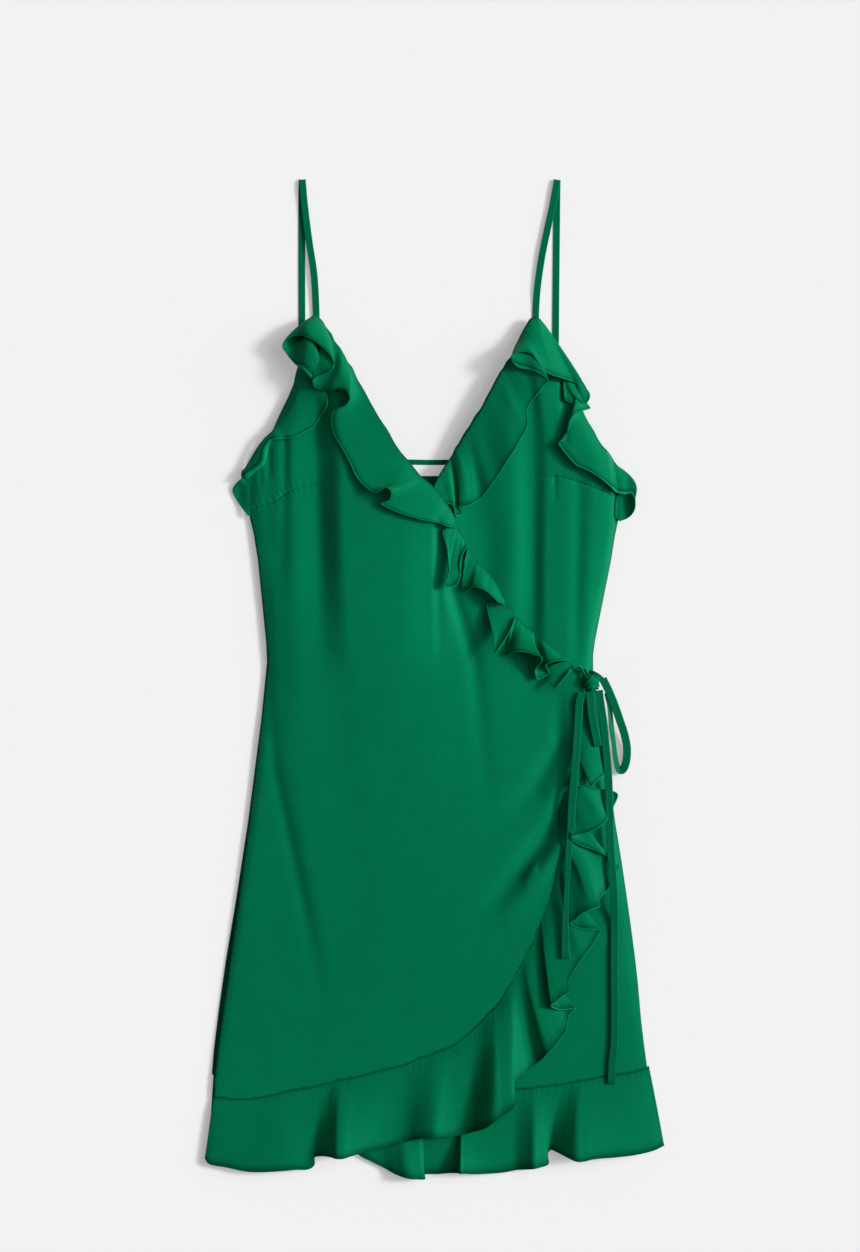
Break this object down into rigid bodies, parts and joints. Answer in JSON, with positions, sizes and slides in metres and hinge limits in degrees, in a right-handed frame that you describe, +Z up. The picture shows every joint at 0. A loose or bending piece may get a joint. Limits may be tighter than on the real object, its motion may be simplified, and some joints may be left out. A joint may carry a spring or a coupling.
{
  "type": "ruffled wrap dress",
  "caption": "Sleeveless mini wrap dress with ruffled neckline, wrap edge and hem, thin straps and a side tie, laid flat on its back.",
  "frame": {"origin": "on the surface the dress lies on, under the middle of its bounding box in plan", "axes": "+X across the dress towards the wearer's left side, +Y along it from the hem to the straps, +Z up out of the surface, through the front"},
  "size_m": [0.4362, 0.9487, 0.0397],
  "materials": {
    "crepe": "green crepe, soft satin sheen",
    "ruffle_crepe": "the same green crepe, gathered, with a rolled edge",
    "rouleau": "the same green crepe, turned into narrow tubes"
  },
  "bodies": {
    "root": {"back_panel": "crepe", "under_front": "crepe", "over_front": "crepe", "back_hem_ruffle": "ruffle_crepe", "under_hem_ruffle": "ruffle_crepe", "under_neck_ruffle": "ruffle_crepe", "over_neck_ruffle": "ruffle_crepe", "over_edge_ruffle": "ruffle_crepe", "right_strap": "rouleau", "left_strap": "rouleau", "back_cord": "rouleau", "tie_knot": "rouleau", "tie_end_short": "rouleau", "tie_end_long": "rouleau", "tie_loop_inner": "rouleau", "tie_loop_outer": "rouleau"}
  },
  "joints": []
}
